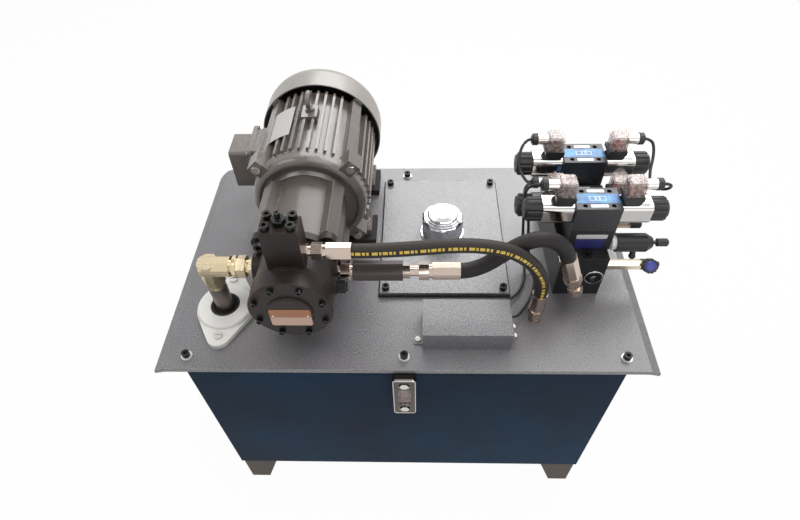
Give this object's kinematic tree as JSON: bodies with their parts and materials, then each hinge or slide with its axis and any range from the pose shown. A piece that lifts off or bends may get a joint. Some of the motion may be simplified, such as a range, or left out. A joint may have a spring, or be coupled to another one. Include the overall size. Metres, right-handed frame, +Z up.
{
  "type": "hydraulic power unit",
  "caption": "Floor-standing oil tank with a grey lid that carries an electric motor, a vane pump, hoses, a filler breather and a stack of solenoid valves.",
  "frame": {"origin": "on the floor at the middle of the four feet, below the middle of the lid", "axes": "+Z up, -Y towards the front with the level gauge, +X to the right with the valve stack"},
  "size_m": [0.8055, 0.515, 0.7413],
  "materials": {
    "tank_paint": "dark petrol blue brushed enamel",
    "foot_paint": "matt taupe paint",
    "lid_paint": "mid grey fine-textured enamel",
    "cover_paint": "mid grey fine-textured enamel",
    "seal_rubber": "matt black",
    "hose_rubber": "black, fabric-printed",
    "pad_rubber": "matt black",
    "black_steel": "black oxide",
    "bright_steel": "bright zinc plate",
    "bare_steel": "ground steel",
    "yellow_zinc": "yellow passivated zinc",
    "chrome": "mirror chrome",
    "mesh": "stainless mesh",
    "gauge_frame": "polished",
    "clear_glass": "clear",
    "clear_plastic": "clear with a pink tint",
    "flange_white": "white, semi-gloss",
    "motor_paint": "warm grey enamel",
    "fan_cover_paint": "light warm grey enamel",
    "fan_plastic": "black",
    "winding": "varnished copper and laminations",
    "bracket_paint": "warm grey enamel",
    "pump_paint": "dark brown-black enamel",
    "valve_black": "black phosphate",
    "block_black": "black oxide",
    "black_plastic": "black",
    "brass": "turned brass",
    "cable_black": "black sheath"
  },
  "bodies": {
    "unit": {"tank_shell": "tank_paint", "tank_feet": "foot_paint", "lid": "lid_paint", "gaskets": "seal_rubber", "lid_screws": "black_steel", "cleanout_cover": "cover_paint", "filler_neck": "chrome", "strainers": "mesh", "level_gauge_frame": "gauge_frame", "level_gauge_glass": "clear_glass", "panel_screws": "bright_steel", "port_plugs": "black_steel", "junction_box": "cover_paint", "suction_flange": "flange_white", "tank_pipes": "bare_steel", "suction_elbow": "yellow_zinc", "motor_frame": "motor_paint", "motor_front_shield": "motor_paint", "motor_rear_shield": "motor_paint", "fan_cover": "fan_cover_paint", "stator": "winding", "motor_bearings": "bare_steel", "terminal_box": "motor_paint", "terminal_box_cover": "motor_paint", "lifting_eye": "motor_paint", "drive_bolts": "bright_steel", "mount_pads": "pad_rubber", "pump_bracket": "bracket_paint", "pump_body": "pump_paint", "pump_cover": "pump_paint", "socket_screws": "black_steel", "pressure_control": "pump_paint", "check_valve": "black_steel", "hose_fittings": "bright_steel", "pressure_hose": "hose_rubber", "drain_hose": "hose_rubber", "manifold_block": "block_black", "sandwich_valves": "valve_black", "valve_bodies": "valve_black", "solenoid_tubes": "chrome", "coil_nuts": "black_plastic", "connector_bases": "black_plastic", "connector_caps": "clear_plastic", "cable_glands": "chrome", "solenoid_cables": "cable_black", "brass_cartridges": "brass"},
    "rotor": {"motor_rotor": "bare_steel", "cooling_fan": "fan_plastic", "shaft_coupling": "bare_steel", "pump_rotor": "bare_steel"},
    "breather": {"breather_cap": "chrome"},
    "pressure_screw": {"pressure_adjuster": "black_steel"},
    "volume_adjuster": {"volume_screw": "black_steel"},
    "poppet": {"check_poppet": "bare_steel"},
    "spool_front": {"front_spool": "bare_steel"},
    "spool_middle": {"middle_spool": "bare_steel"},
    "spool_rear": {"rear_spool": "bare_steel"},
    "front_knob": {"front_adjuster_knob": "black_plastic"},
    "rear_knob": {"rear_adjuster_knob": "black_plastic"},
    "gauge_handle": {"gauge_knob": "black_plastic"}
  },
  "joints": [
    {"name": "rotor_spin", "type": "hinge", "parent": "unit", "child": "rotor", "pos_m": [-0.16, 0, 0.592], "axis": [0, 1, 0], "continuous": true},
    {"name": "breather_lift", "type": "slide", "parent": "unit", "child": "breather", "axis": [0, 0, 1], "range_m": [0, 0.16]},
    {"name": "pressure_turn", "type": "hinge", "parent": "unit", "child": "pressure_screw", "pos_m": [-0.16, -0.159, 0.721], "axis": [0, 0, 1], "range_deg": [-720, 720]},
    {"name": "volume_turn", "type": "hinge", "parent": "unit", "child": "volume_adjuster", "pos_m": [-0.097, -0.16, 0.592], "axis": [1, 0, 0], "range_deg": [-720, 720]},
    {"name": "poppet_lift", "type": "slide", "parent": "unit", "child": "poppet", "axis": [1, 0, 0], "range_m": [0, 0.004], "stiffness_N_per_m": 1500, "springref_m": -0.004},
    {"name": "front_spool_shift", "type": "slide", "parent": "unit", "child": "spool_front", "axis": [1, 0, 0], "range_m": [-0.003, 0.003], "stiffness_N_per_m": 6000},
    {"name": "middle_spool_shift", "type": "slide", "parent": "unit", "child": "spool_middle", "axis": [1, 0, 0], "range_m": [-0.003, 0.003], "stiffness_N_per_m": 6000},
    {"name": "rear_spool_shift", "type": "slide", "parent": "unit", "child": "spool_rear", "axis": [1, 0, 0], "range_m": [-0.003, 0.003], "stiffness_N_per_m": 6000},
    {"name": "front_knob_turn", "type": "hinge", "parent": "unit", "child": "front_knob", "pos_m": [0.3895, -0.064, 0.58], "axis": [1, 0, 0], "range_deg": [-720, 720]},
    {"name": "rear_knob_turn", "type": "hinge", "parent": "unit", "child": "rear_knob", "pos_m": [0.3655, -0.024, 0.58], "axis": [1, 0, 0], "range_deg": [-720, 720]},
    {"name": "gauge_knob_turn", "type": "hinge", "parent": "unit", "child": "gauge_handle", "pos_m": [0.391, -0.075, 0.54], "axis": [0, -0.788, 0.6157], "range_deg": [0, 90]}
  ]
}
